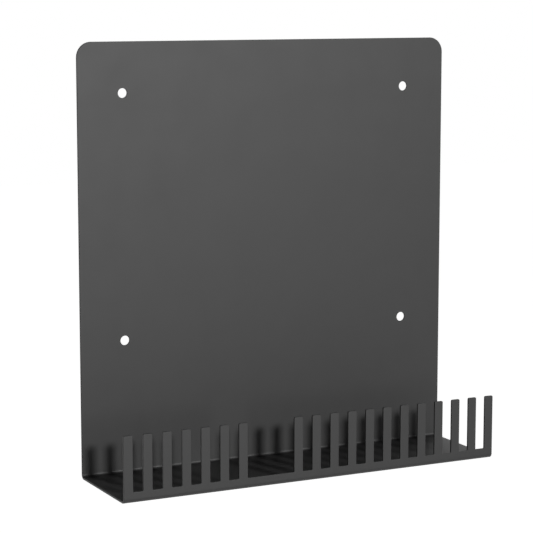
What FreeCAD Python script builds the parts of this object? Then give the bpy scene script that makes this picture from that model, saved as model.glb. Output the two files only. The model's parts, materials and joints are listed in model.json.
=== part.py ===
import FreeCAD, Part
import math
import os

import Sketcher

# Wall-mounted record rack: one steel sheet, cut flat, folded twice and powder coated.
# Millimetres, +Z up, +X to the right. The wall is the plane y = 0 and the rack stands out from it towards -Y.
# The origin is the centre of the four wall holes, on the wall side of the back panel.
# Each flat or folded region of the sheet is a solid of its own, and neighbours meet face to face.

# Driving dimensions: alias, value, meaning
DIMENSIONS = [
    ("sheet_width", 300, "side edge to side edge of the whole sheet"),
    ("panel_height", 314, "underside of the shelf to the top edge of the back panel"),
    ("shelf_depth", 80, "wall to the front face of the lip"),
    ("lip_height", 48, "underside of the shelf to the tips of the bars"),
    ("rail_height", 8, "underside of the shelf to the foot of the bars"),
    ("gauge", 1.5, "thickness of the sheet"),
    ("bend_radius", 2, "inside radius of both folds"),
    ("corner_radius", 11, "top corners of the back panel"),
    ("hole_diameter", 7, "wall screw holes"),
    ("hole_side_inset", 34.5, "side edge to hole centre"),
    ("hole_top_inset", 36.5, "top edge to upper hole centre"),
    ("hole_rise", 178.5, "lower hole centre to upper hole centre"),
    ("bar_width", 7, "width of each upright bar of the lip"),
    ("tip_radius", 1, "corners at the tip of each bar"),
]
BAR_PLACES = 21  # evenly spaced places for the bars of the lip, the outer two flush with the sheet's side edges
OPEN_PLACES = (7, 8)  # places without a bar, where the lip is only its rail

# Lengths that follow from the driving dimensions, as expressions
LEFT = "(-sizes.sheet_width / 2)"
RIGHT = "(sizes.sheet_width / 2)"
TOP = "(sizes.hole_rise / 2 + sizes.hole_top_inset)"
UNDERSIDE = f"({TOP} - sizes.panel_height)"
OUTER_RADIUS = "(sizes.bend_radius + sizes.gauge)"
FOLD_AXIS_Z = f"({UNDERSIDE} + {OUTER_RADIUS})"
REAR_FOLD_Y = f"(-{OUTER_RADIUS})"
FRONT_FOLD_Y = f"({OUTER_RADIUS} - sizes.shelf_depth)"
LIP_BACK_Y = "(sizes.gauge - sizes.shelf_depth)"
HOLE_SPAN = "(sizes.sheet_width - 2 * sizes.hole_side_inset)"
BAR_PITCH = f"((sizes.sheet_width - sizes.bar_width) / {BAR_PLACES - 1})"

doc = FreeCAD.newDocument("record_rack")
sizes = doc.addObject("Spreadsheet::Sheet", "sizes")
for row, (alias, value, meaning) in enumerate(DIMENSIONS, start=1):
    sizes.set(f"A{row}", meaning)
    sizes.set(f"B{row}", str(value))
    sizes.setAlias(f"B{row}", alias)
doc.recompute()


# Building blocks


def new_body(label, x, y, z, turned=0):
    body = doc.addObject("PartDesign::Body", label)
    body.Label = label
    body.Placement.Rotation = FreeCAD.Rotation(FreeCAD.Vector(0, 0, 1), turned)
    for axis, expression in (("x", x), ("y", y), ("z", z)):
        body.setExpression(f"Placement.Base.{axis}", expression)
    return body


def new_sketch(body, plane_role):
    sketch = body.newObject("Sketcher::SketchObject", f"{body.Name}_sketch")
    plane = next(f for f in body.Origin.OriginFeatures if f.Role == plane_role)
    sketch.AttachmentSupport = [(plane, "")]
    sketch.MapMode = "FlatFace"
    return sketch


def bind(sketch, kind, references, start_value, expression):
    index = sketch.addConstraint(Sketcher.Constraint(kind, *references, start_value))
    sketch.setExpression(f"Constraints[{index}]", expression)


# A rectangle whose lower left corner lies on the sketch's vertical axis, at a height above its origin
def add_rectangle(sketch, width, height, above_origin=None):
    corners = [(0, 1), (2, 1), (2, 2), (0, 2)]
    points = [FreeCAD.Vector(x, y, 0) for x, y in corners]
    for start in range(4):
        sketch.addGeometry(Part.LineSegment(points[start], points[(start + 1) % 4]))
    for line in range(4):
        sketch.addConstraint(Sketcher.Constraint("Coincident", line, 2, (line + 1) % 4, 1))
    for line, kind in enumerate(("Horizontal", "Vertical", "Horizontal", "Vertical")):
        sketch.addConstraint(Sketcher.Constraint(kind, line))
    if above_origin:
        sketch.addConstraint(Sketcher.Constraint("PointOnObject", 0, 1, -2))
        bind(sketch, "DistanceY", (-1, 1, 0, 1), 1, above_origin)
    else:
        sketch.addConstraint(Sketcher.Constraint("Coincident", 0, 1, -1, 1))
    bind(sketch, "DistanceX", (0, 1, 0, 2), 2, width)
    bind(sketch, "DistanceY", (1, 1, 1, 2), 1, height)


def add_circle(sketch):
    return sketch.addGeometry(Part.Circle(FreeCAD.Vector(1, 1, 0), FreeCAD.Vector(0, 0, 1), 0.5))


def add_pad(body, sketch, length):
    pad = body.newObject("PartDesign::Pad", f"{body.Name}_pad")
    pad.Profile = sketch
    pad.setExpression("Length", length)
    doc.recompute()
    return pad


# Rounds the upper corners of an upright flat piece: its edges that run through the sheet at full height
def round_top_corners(body, pad, radius):
    top = pad.Shape.BoundBox.ZMax
    depth = pad.Shape.BoundBox.YLength
    names = []
    for number, edge in enumerate(pad.Shape.Edges, start=1):
        box = edge.BoundBox
        if math.isclose(box.ZMin, top, abs_tol=1e-6) and math.isclose(box.YLength, depth, abs_tol=1e-6):
            names.append(f"Edge{number}")
    fillet = body.newObject("PartDesign::Fillet", f"{body.Name}_corners")
    fillet.Base = (pad, names)
    fillet.setExpression("Radius", radius)
    doc.recompute()
    return fillet


# Pieces of the sheet


def make_back_panel():
    body = new_body("back_panel", LEFT, "0", FOLD_AXIS_Z)
    outline = new_sketch(body, "XZ_Plane")
    add_rectangle(outline, "sizes.sheet_width", f"sizes.panel_height - {OUTER_RADIUS}")
    pad = add_pad(body, outline, "sizes.gauge")
    blank = round_top_corners(body, pad, "sizes.corner_radius")

    holes = new_sketch(body, "XZ_Plane")
    upper = f"sizes.panel_height - {OUTER_RADIUS} - sizes.hole_top_inset"
    for column in ("sizes.hole_side_inset", f"sizes.hole_side_inset + {HOLE_SPAN}"):
        for row in (upper, f"{upper} - sizes.hole_rise"):
            circle = add_circle(holes)
            bind(holes, "DistanceX", (-1, 1, circle, 3), 1, column)
            bind(holes, "DistanceY", (-1, 1, circle, 3), 1, row)
            bind(holes, "Diameter", (circle,), 1, "sizes.hole_diameter")
    pocket = body.newObject("PartDesign::Pocket", "wall_holes")
    pocket.Profile = holes
    pocket.Type = "ThroughAll"
    pocket.Reversed = True
    doc.recompute()

    drilled = 4 * math.pi * sizes.hole_diameter**2 / 4 * sizes.gauge
    if not math.isclose(blank.Shape.Volume - pocket.Shape.Volume, drilled, rel_tol=1e-6):
        raise RuntimeError("the wall holes don't go through the back panel")
    return body


# A fold is the sheet's cross-section turned down a quarter turn about the fold axis, from upright to level
def make_fold(label, x, axis_y, turned=0):
    body = new_body(label, x, axis_y, FOLD_AXIS_Z, turned)
    section = new_sketch(body, "XY_Plane")
    add_rectangle(section, "sizes.sheet_width", "sizes.gauge", above_origin="sizes.bend_radius")
    turn = body.newObject("PartDesign::Revolution", f"{label}_turn")
    turn.Profile = section
    turn.ReferenceAxis = (section, ["H_Axis"])
    turn.Angle = 90
    turn.Reversed = True
    doc.recompute()
    return body


def make_shelf():
    body = new_body("shelf", LEFT, FRONT_FOLD_Y, UNDERSIDE)
    outline = new_sketch(body, "XY_Plane")
    add_rectangle(outline, "sizes.sheet_width", f"sizes.shelf_depth - 2 * {OUTER_RADIUS}")
    add_pad(body, outline, "sizes.gauge")
    return body


def make_lip_rail():
    body = new_body("lip_rail", LEFT, LIP_BACK_Y, FOLD_AXIS_Z)
    outline = new_sketch(body, "XZ_Plane")
    add_rectangle(outline, "sizes.sheet_width", f"sizes.rail_height - {OUTER_RADIUS}")
    add_pad(body, outline, "sizes.gauge")
    return body


# Upright bars of one height, numbered from the left
def make_lip_bar(number, place):
    x = f"{LEFT} + {place} * {BAR_PITCH}"
    body = new_body(f"lip_bar_{number:02d}", x, LIP_BACK_Y, f"{UNDERSIDE} + sizes.rail_height")
    outline = new_sketch(body, "XZ_Plane")
    add_rectangle(outline, "sizes.bar_width", "sizes.lip_height - sizes.rail_height")
    pad = add_pad(body, outline, "sizes.gauge")
    round_top_corners(body, pad, "sizes.tip_radius")
    return body


pieces = [
    make_back_panel(),
    make_fold("rear_fold", LEFT, REAR_FOLD_Y),
    make_shelf(),
    make_fold("front_fold", RIGHT, FRONT_FOLD_Y, turned=180),
    make_lip_rail(),
]
places = [place for place in range(BAR_PLACES) if place not in OPEN_PLACES]
for number, place in enumerate(places, start=1):
    pieces.append(make_lip_bar(number, place))
doc.recompute()

# Checks before anything is written
for item in doc.Objects:
    if "Invalid" in item.State or "Error" in item.State:
        raise RuntimeError(f"{item.Label} failed: {item.State}")
for piece in pieces:
    if piece.Shape.isNull() or not piece.Shape.isValid() or len(piece.Shape.Solids) != 1:
        raise RuntimeError(f"{piece.Label} is not one valid solid")

os.makedirs("parts", exist_ok=True)
for piece in pieces:
    piece.Shape.exportStep(f"parts/{piece.Label}.step")
    box = piece.Shape.BoundBox
    print(f"{piece.Label:12s} x {box.XMin:8.2f} {box.XMax:8.2f}  y {box.YMin:7.2f} {box.YMax:7.2f}"
          f"  z {box.ZMin:8.2f} {box.ZMax:8.2f}  volume {piece.Shape.Volume:10.1f}")
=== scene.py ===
import json
from math import radians

import bmesh
import bpy
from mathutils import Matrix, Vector


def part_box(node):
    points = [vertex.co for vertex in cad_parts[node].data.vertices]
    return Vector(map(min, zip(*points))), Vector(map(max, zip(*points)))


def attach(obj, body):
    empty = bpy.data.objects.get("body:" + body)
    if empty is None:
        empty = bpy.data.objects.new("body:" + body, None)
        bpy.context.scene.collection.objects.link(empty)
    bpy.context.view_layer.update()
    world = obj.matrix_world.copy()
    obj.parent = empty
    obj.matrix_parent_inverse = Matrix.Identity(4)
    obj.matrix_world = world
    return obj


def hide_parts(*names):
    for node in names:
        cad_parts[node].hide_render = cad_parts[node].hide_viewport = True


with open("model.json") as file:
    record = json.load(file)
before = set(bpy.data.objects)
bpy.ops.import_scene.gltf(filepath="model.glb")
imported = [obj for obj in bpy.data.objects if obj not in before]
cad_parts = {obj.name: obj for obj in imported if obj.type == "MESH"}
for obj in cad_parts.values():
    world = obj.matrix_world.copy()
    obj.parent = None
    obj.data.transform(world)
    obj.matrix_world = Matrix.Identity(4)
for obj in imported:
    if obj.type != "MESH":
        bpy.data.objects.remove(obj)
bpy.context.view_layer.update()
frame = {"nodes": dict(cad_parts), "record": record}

scene = bpy.context.scene
scene.view_settings.view_transform = "Standard"

# places read from the frame, in metres
panelLow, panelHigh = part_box("back_panel")
shelfLow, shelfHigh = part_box("shelf")
foldLow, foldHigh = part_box("rear_fold")
railLow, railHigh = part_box("lip_rail")
barNodes = sorted(name for name in frame["nodes"] if name.startswith("lip_bar_"))
barBoxes = [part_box(name) for name in barNodes]
wallHoles = next(mount for mount in frame["record"]["mounts"] if mount["name"] == "wall_holes")
gauge = shelfHigh.z - shelfLow.z
print("frame read:", len(frame["nodes"]), "nodes,", len(barNodes), "bars")


# small helpers for node trees
def plug(tree, socket, value):
    if isinstance(value, bpy.types.NodeSocket):
        tree.links.new(value, socket)
    else:
        socket.default_value = value


def addNode(tree, kind, sockets=None, **settings):
    made = tree.nodes.new(kind)
    for name, value in settings.items():
        setattr(made, name, value)
    for name, value in (sockets or {}).items():
        plug(tree, made.inputs[name], value)
    return made


def calc(tree, operation, first, second=0.0, third=0.0):
    made = addNode(tree, "ShaderNodeMath", operation=operation)
    for socket, value in zip(made.inputs, (first, second, third)):
        plug(tree, socket, value)
    return made.outputs[0]


def pick(tree, condition, whenTrue, whenFalse):
    sockets = {"Switch": condition, "True": whenTrue, "False": whenFalse}
    return addNode(tree, "GeometryNodeSwitch", sockets, input_type="FLOAT").outputs[0]


def vector(tree, **parts):
    sockets = {axis.upper(): value for axis, value in parts.items()}
    return addNode(tree, "ShaderNodeCombineXYZ", sockets).outputs[0]


def position(tree):
    spot = addNode(tree, "GeometryNodeInputPosition")
    return addNode(tree, "ShaderNodeSeparateXYZ", {"Vector": spot.outputs[0]})


# satin powder coat: near black, faint orange peel, slightly uneven gloss
coatLook = {
    "deep": (0.0111, 0.0111, 0.0111, 1),
    "pale": (0.0149, 0.0149, 0.0149, 1),
    "cloudScale": 55,
    "cloudDetail": 4,
    "glossLow": 0.544,
    "glossHigh": 0.568,
    "glossScale": 30,
    "glossDetail": 3,
    "noiseLow": 0.3,
    "noiseHigh": 0.7,
    "peelScale": 1100,
    "peelDetail": 2,
    "peelDepth": 0.00001,
    "peelStrength": 0.35,
}


def makePowderCoat():
    coat = bpy.data.materials.new("powderCoat")
    coat.use_nodes = True
    tree = coat.node_tree
    tree.nodes.clear()
    place = addNode(tree, "ShaderNodeTexCoord").outputs["Object"]

    def noise(scale, detail):
        sockets = {"Vector": place, "Scale": scale, "Detail": detail}
        return addNode(tree, "ShaderNodeTexNoise", sockets).outputs[0]

    tint = addNode(tree, "ShaderNodeMix", data_type="RGBA")
    plug(tree, tint.inputs[0], noise(coatLook["cloudScale"], coatLook["cloudDetail"]))
    plug(tree, tint.inputs[6], coatLook["deep"])
    plug(tree, tint.inputs[7], coatLook["pale"])
    gloss = addNode(tree, "ShaderNodeMapRange", {
        "Value": noise(coatLook["glossScale"], coatLook["glossDetail"]),
        "From Min": coatLook["noiseLow"],
        "From Max": coatLook["noiseHigh"],
        "To Min": coatLook["glossLow"],
        "To Max": coatLook["glossHigh"],
    })
    peel = addNode(tree, "ShaderNodeBump", {
        "Height": noise(coatLook["peelScale"], coatLook["peelDetail"]),
        "Distance": coatLook["peelDepth"],
        "Strength": coatLook["peelStrength"],
    })
    shader = addNode(tree, "ShaderNodeBsdfPrincipled", {
        "Base Color": tint.outputs[2],
        "Roughness": gloss.outputs[0],
        "Normal": peel.outputs[0],
    })
    addNode(tree, "ShaderNodeOutputMaterial", {"Surface": shader.outputs[0]})
    return coat


powderCoat = makePowderCoat()
print("powder coat mixed")

# the sheet: its outside skin is cut and folded by nodes, then gets its thickness and rounded edges
sheetLook = {
    "cornerRadius": 0.011,
    "cornerSteps": 14,
    "holeSteps": 56,
    "foldSteps": 14,
    "tipRadius": 0.001,
    "rootRadius": 0.0006,
    "barSteps": 4,
    "sideReach": 0.0001,
    "footReach": 0.001,
    "edgeRounding": 0.0003,
    "edgeSteps": 3,
    "edgeAngle": 50,
    "weld": 0.00001,
}

sheetInputs = {
    "Sheet Width": panelHigh.x - panelLow.x,
    "Panel Top": panelHigh.z,
    "Fold Line": panelLow.z,
    "Underside": shelfLow.z,
    "Lip Front": railLow.y,
    "Fold Radius": foldHigh.z - foldLow.z,
    "Corner Radius": sheetLook["cornerRadius"],
    "Hole Span": wallHoles["dims"]["spacing_x_mm"] / 1000,
    "Hole Rise": wallHoles["dims"]["spacing_y_mm"] / 1000,
    "Hole Radius": wallHoles["dims"]["hole_r_mm"] / 1000,
    "Rail Top": railHigh.z,
    "Bar Width": barBoxes[0][1].x - barBoxes[0][0].x,
    "Tip Radius": sheetLook["tipRadius"],
    "Root Radius": sheetLook["rootRadius"],
}


def uprightFace(tree, outline, y):
    # an outline drawn flat is filled and stood up at depth y
    filled = addNode(tree, "GeometryNodeFillCurve", {"Curve": outline}, mode="NGONS")
    return addNode(tree, "GeometryNodeTransform", {
        "Geometry": filled.outputs[0],
        "Translation": vector(tree, y=y),
        "Rotation": (radians(90), 0, 0),
    }).outputs[0]


def panelFace(tree, size):
    height = calc(tree, "SUBTRACT", size["Panel Top"], size["Fold Line"])
    middle = calc(tree, "MULTIPLY", calc(tree, "ADD", size["Panel Top"], size["Fold Line"]), 0.5)
    blank = addNode(tree, "GeometryNodeCurvePrimitiveQuadrilateral", {
        "Width": size["Sheet Width"],
        "Height": height,
    })
    raised = addNode(tree, "GeometryNodeTransform", {
        "Geometry": blank.outputs[0],
        "Translation": vector(tree, y=middle),
    })
    isUpper = calc(tree, "GREATER_THAN", position(tree).outputs["Y"], middle)
    rounded = addNode(tree, "GeometryNodeFilletCurve", {
        "Curve": raised.outputs[0],
        "Count": sheetLook["cornerSteps"],
        "Radius": calc(tree, "MULTIPLY", isUpper, size["Corner Radius"]),
    }, mode="POLY")
    spots = addNode(tree, "GeometryNodeMeshGrid", {
        "Size X": size["Hole Span"],
        "Size Y": size["Hole Rise"],
        "Vertices X": 2,
        "Vertices Y": 2,
    })
    circle = addNode(tree, "GeometryNodeCurvePrimitiveCircle", {
        "Resolution": sheetLook["holeSteps"],
        "Radius": size["Hole Radius"],
    })
    holes = addNode(tree, "GeometryNodeInstanceOnPoints", {
        "Points": spots.outputs[0],
        "Instance": circle.outputs[0],
    })
    outline = addNode(tree, "GeometryNodeJoinGeometry", {"Geometry": rounded.outputs[0]})
    realHoles = addNode(tree, "GeometryNodeRealizeInstances", {"Geometry": holes.outputs[0]})
    tree.links.new(realHoles.outputs[0], outline.inputs[0])
    return uprightFace(tree, outline.outputs[0], 0.0)


def shelfAndFolds(tree, size):
    # an open channel, its two lower corners rounded right up to its ends, drawn out along the sheet
    left = calc(tree, "MULTIPLY", size["Sheet Width"], -0.5)
    corners = {
        "Point 1": vector(tree, x=left, z=size["Fold Line"]),
        "Point 2": vector(tree, x=left, z=size["Underside"]),
        "Point 3": vector(tree, x=left, y=size["Lip Front"], z=size["Underside"]),
        "Point 4": vector(tree, x=left, y=size["Lip Front"], z=size["Fold Line"]),
    }
    square = addNode(tree, "GeometryNodeCurvePrimitiveQuadrilateral", corners, mode="POINTS")
    channel = addNode(tree, "GeometryNodeSetSplineCyclic", {
        "Geometry": square.outputs[0],
        "Cyclic": False,
    })
    folded = addNode(tree, "GeometryNodeFilletCurve", {
        "Curve": channel.outputs[0],
        "Count": sheetLook["foldSteps"],
        "Radius": size["Fold Radius"],
    }, mode="POLY")
    wire = addNode(tree, "GeometryNodeCurveToMesh", {"Curve": folded.outputs[0]})
    return addNode(tree, "GeometryNodeExtrudeMesh", {
        "Mesh": wire.outputs[0],
        "Offset": vector(tree, x=size["Sheet Width"]),
    }, mode="EDGES").outputs[0]


def lipFace(tree, size):
    # four corners for each bar: foot, tip, tip, foot; the two outermost feet drop to the fold line
    spots = addNode(tree, "GeometryNodeMeshToPoints", {"Mesh": size["Bar Tips"]})
    corners = addNode(tree, "GeometryNodeDuplicateElements", {
        "Geometry": spots.outputs[0],
        "Amount": 4,
    }, domain="POINT")
    step = corners.outputs["Duplicate Index"]
    tip = position(tree)
    half = calc(tree, "MULTIPLY", size["Bar Width"], 0.5)
    isRight = calc(tree, "GREATER_THAN", step, 1.5)
    aside = pick(tree, isRight, half, calc(tree, "MULTIPLY", half, -1.0))
    x = calc(tree, "ADD", tip.outputs["X"], aside)
    isTip = calc(tree, "COMPARE", step, 1.5, 0.75)
    side = calc(tree, "MULTIPLY", size["Sheet Width"], 0.5)
    nearSide = calc(tree, "SUBTRACT", side, sheetLook["sideReach"])
    isAtSide = calc(tree, "GREATER_THAN", calc(tree, "ABSOLUTE", x), nearSide)
    foot = pick(tree, isAtSide, size["Fold Line"], size["Rail Top"])
    spread = addNode(tree, "GeometryNodeSetPosition", {
        "Geometry": corners.outputs[0],
        "Position": vector(tree, x=x, y=pick(tree, isTip, tip.outputs["Z"], foot)),
    })
    drawn = addNode(tree, "GeometryNodePointsToCurves", {
        "Points": spread.outputs[0],
        "Weight": addNode(tree, "GeometryNodeInputIndex").outputs[0],
    })
    closed = addNode(tree, "GeometryNodeSetSplineCyclic", {
        "Geometry": drawn.outputs[0],
        "Cyclic": True,
    })
    height = position(tree).outputs["Y"]
    railReach = calc(tree, "ADD", size["Rail Top"], sheetLook["footReach"])
    foldReach = calc(tree, "ADD", size["Fold Line"], sheetLook["footReach"])
    aboveRail = calc(tree, "GREATER_THAN", height, railReach)
    onRail = calc(tree, "GREATER_THAN", height, foldReach)
    footRadius = calc(tree, "MULTIPLY", onRail, size["Root Radius"])
    rounded = addNode(tree, "GeometryNodeFilletCurve", {
        "Curve": closed.outputs[0],
        "Count": sheetLook["barSteps"],
        "Radius": pick(tree, aboveRail, size["Tip Radius"], footRadius),
    }, mode="POLY")
    return uprightFace(tree, rounded.outputs[0], size["Lip Front"])


def makeSheetTree():
    tree = bpy.data.node_groups.new("cutAndFold", "GeometryNodeTree")
    tree.interface.new_socket("Bar Tips", in_out="INPUT", socket_type="NodeSocketGeometry")
    for name in sheetInputs:
        tree.interface.new_socket(name, in_out="INPUT", socket_type="NodeSocketFloat")
    tree.interface.new_socket("Coat", in_out="INPUT", socket_type="NodeSocketMaterial")
    tree.interface.new_socket("Sheet", in_out="OUTPUT", socket_type="NodeSocketGeometry")
    size = addNode(tree, "NodeGroupInput").outputs
    skin = addNode(tree, "GeometryNodeJoinGeometry")
    for region in (panelFace(tree, size), shelfAndFolds(tree, size), lipFace(tree, size)):
        tree.links.new(region, skin.inputs[0])
    joined = addNode(tree, "GeometryNodeMergeByDistance", {
        "Geometry": skin.outputs[0],
        "Distance": sheetLook["weld"],
    })
    real = addNode(tree, "GeometryNodeRealizeInstances", {"Geometry": joined.outputs[0]})
    coated = addNode(tree, "GeometryNodeSetMaterial", {
        "Geometry": real.outputs[0],
        "Material": size["Coat"],
    })
    addNode(tree, "NodeGroupOutput", {"Sheet": coated.outputs[0]})
    return tree


def makeSheet():
    tips = bpy.data.meshes.new("barTips")  # one point at the middle of each bar's tip
    tips.from_pydata([((low.x + high.x) / 2, low.y, high.z) for low, high in barBoxes], [], [])
    sheet = bpy.data.objects.new("foldedSheet", tips)
    scene.collection.objects.link(sheet)
    cutter = sheet.modifiers.new("cutAndFold", "NODES")
    cutter.node_group = makeSheetTree()
    for socket in cutter.node_group.interface.items_tree:
        if socket.in_out == "INPUT" and socket.name in sheetInputs:
            cutter[socket.identifier] = sheetInputs[socket.name]
        if socket.in_out == "INPUT" and socket.name == "Coat":
            cutter[socket.identifier] = powderCoat
    skin = bpy.data.meshes.new_from_object(sheet.evaluated_get(bpy.context.evaluated_depsgraph_get()))
    sheet.modifiers.remove(cutter)
    sheet.data = skin
    skin.name = "foldedSheet"

    shape = bmesh.new()
    shape.from_mesh(skin)
    bmesh.ops.remove_doubles(shape, verts=shape.verts, dist=sheetLook["weld"])
    bmesh.ops.recalc_face_normals(shape, faces=shape.faces)
    panel = max(shape.faces, key=lambda face: face.calc_area())
    if panel.normal.y < 0:
        bmesh.ops.reverse_faces(shape, faces=shape.faces)
    for face in shape.faces:
        face.smooth = True
    shape.to_mesh(skin)
    shape.free()

    thickness = sheet.modifiers.new("thickness", "SOLIDIFY")
    thickness.thickness = gauge
    thickness.offset = -1
    thickness.use_even_offset = True
    rounding = sheet.modifiers.new("rounding", "BEVEL")
    rounding.width = sheetLook["edgeRounding"]
    rounding.segments = sheetLook["edgeSteps"]
    rounding.limit_method = "ANGLE"
    rounding.angle_limit = radians(sheetLook["edgeAngle"])
    rounding.use_clamp_overlap = False
    shading = sheet.modifiers.new("shading", "WEIGHTED_NORMAL")
    shading.mode = "FACE_AREA"
    shading.weight = 100
    return sheet


sheet = makeSheet()
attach(sheet, "root")
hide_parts(*frame["nodes"])
print("sheet cut and folded:", len(sheet.data.vertices), "points,", len(sheet.data.polygons), "faces")

# pale floor well below the rack, since it hangs on a wall; its reflection dims towards the front
floorLook = {
    "below": 1.35,
    "size": 26,
    "colour": (0.9, 0.9, 0.9, 1),
    "lift": 0.93,
    "frontGlow": 0.2,
    "fade": 0.6,
}


def seenRays(tree, inReflections):
    # 1 where it is looked at, straight on, through something or mirrored, and 0 where it only gives light
    path = addNode(tree, "ShaderNodeLightPath")
    mirrored = calc(tree, "MULTIPLY", path.outputs["Is Glossy Ray"], inReflections)
    straight = calc(tree, "MAXIMUM", path.outputs["Is Camera Ray"], path.outputs["Is Transmission Ray"])
    return calc(tree, "MAXIMUM", straight, mirrored)


def makeFloor():
    paint = bpy.data.materials.new("floorPaint")
    paint.use_nodes = True
    tree = paint.node_tree
    tree.nodes.clear()
    spot = addNode(tree, "ShaderNodeSeparateXYZ", {
        "Vector": addNode(tree, "ShaderNodeTexCoord").outputs["Object"],
    })
    glow = addNode(tree, "ShaderNodeMapRange", {
        "Value": spot.outputs["Y"],
        "From Min": -floorLook["fade"],
        "From Max": floorLook["fade"],
        "To Min": floorLook["frontGlow"],
        "To Max": 1.0,
    })
    shader = addNode(tree, "ShaderNodeBsdfPrincipled", {
        "Base Color": floorLook["colour"],
        "Roughness": 1.0,
        "Specular IOR Level": 0.0,
        "Emission Color": (1, 1, 1, 1),
        "Emission Strength": calc(tree, "MULTIPLY", seenRays(tree, glow.outputs[0]), floorLook["lift"]),
    })
    addNode(tree, "ShaderNodeOutputMaterial", {"Surface": shader.outputs[0]})
    half = floorLook["size"] / 2
    corners = [(-half, -half, 0), (half, -half, 0), (half, half, 0), (-half, half, 0)]
    mesh = bpy.data.meshes.new("floor")
    mesh.from_pydata(corners, [], [(0, 1, 2, 3)])
    mesh.materials.append(paint)
    floor = bpy.data.objects.new("floor", mesh)
    floor.location.z = -floorLook["below"]
    scene.collection.objects.link(floor)
    return floor


makeFloor()
print("floor laid")

# white backdrop behind, dim room in front, key lamp high on the right, wider fill level with the rack
lightLook = {
    "surroundings": 0.08,
    "backdropEdge": (-0.15, 0.35),
    "aim": (0.0, 0.0, -0.03),
    "key": {"place": (0.72, -2.57, 0.67), "width": 0.24, "power": 66},
    "fill": {"place": (-0.2, -2.59, 0.01), "width": 0.6, "power": 16.2},
}


def hangLamp(name):
    look = lightLook[name]
    lamp = bpy.data.lights.new(name, "AREA")
    lamp.shape = "DISK"
    lamp.size = look["width"]
    lamp.energy = look["power"]
    hung = bpy.data.objects.new(name, lamp)
    hung.location = look["place"]
    aim = Vector(lightLook["aim"]) - hung.location
    hung.rotation_euler = aim.to_track_quat("-Z", "Y").to_euler()
    scene.collection.objects.link(hung)


def makeLight():
    world = bpy.data.worlds.new("studio")
    scene.world = world
    world.use_nodes = True
    tree = world.node_tree
    tree.nodes.clear()
    room = addNode(tree, "ShaderNodeBackground", {
        "Color": (1, 1, 1, 1),
        "Strength": lightLook["surroundings"],
    })
    backdrop = addNode(tree, "ShaderNodeBackground", {"Color": (1, 1, 1, 1), "Strength": 1.0})
    heading = addNode(tree, "ShaderNodeSeparateXYZ", {
        "Vector": addNode(tree, "ShaderNodeTexCoord").outputs["Generated"],
    })
    behind = addNode(tree, "ShaderNodeMapRange", {
        "Value": heading.outputs["Y"],
        "From Min": lightLook["backdropEdge"][0],
        "From Max": lightLook["backdropEdge"][1],
    }, interpolation_type="SMOOTHSTEP")
    mixed = addNode(tree, "ShaderNodeMixShader", {"Fac": seenRays(tree, behind.outputs[0])})
    tree.links.new(room.outputs[0], mixed.inputs[1])
    tree.links.new(backdrop.outputs[0], mixed.inputs[2])
    addNode(tree, "ShaderNodeOutputWorld", {"Surface": mixed.outputs[0]})

    hangLamp("key")
    hangLamp("fill")


makeLight()
print("light set")

# camera at the photograph's viewing angle
cameraLook = {
    "place": (-0.6398, -1.2731, 0.1615),
    "turn": 26.67,
    "dip": 8.16,
    "sensor": 36,
    "lens": 130.09,
}


def makeCamera():
    lens = bpy.data.cameras.new("camera")
    lens.sensor_width = cameraLook["sensor"]
    lens.lens = cameraLook["lens"]
    camera = bpy.data.objects.new("camera", lens)
    camera.location = cameraLook["place"]
    camera.rotation_euler = (radians(90 - cameraLook["dip"]), 0, radians(-cameraLook["turn"]))
    scene.collection.objects.link(camera)
    scene.camera = camera


makeCamera()
print("camera placed")
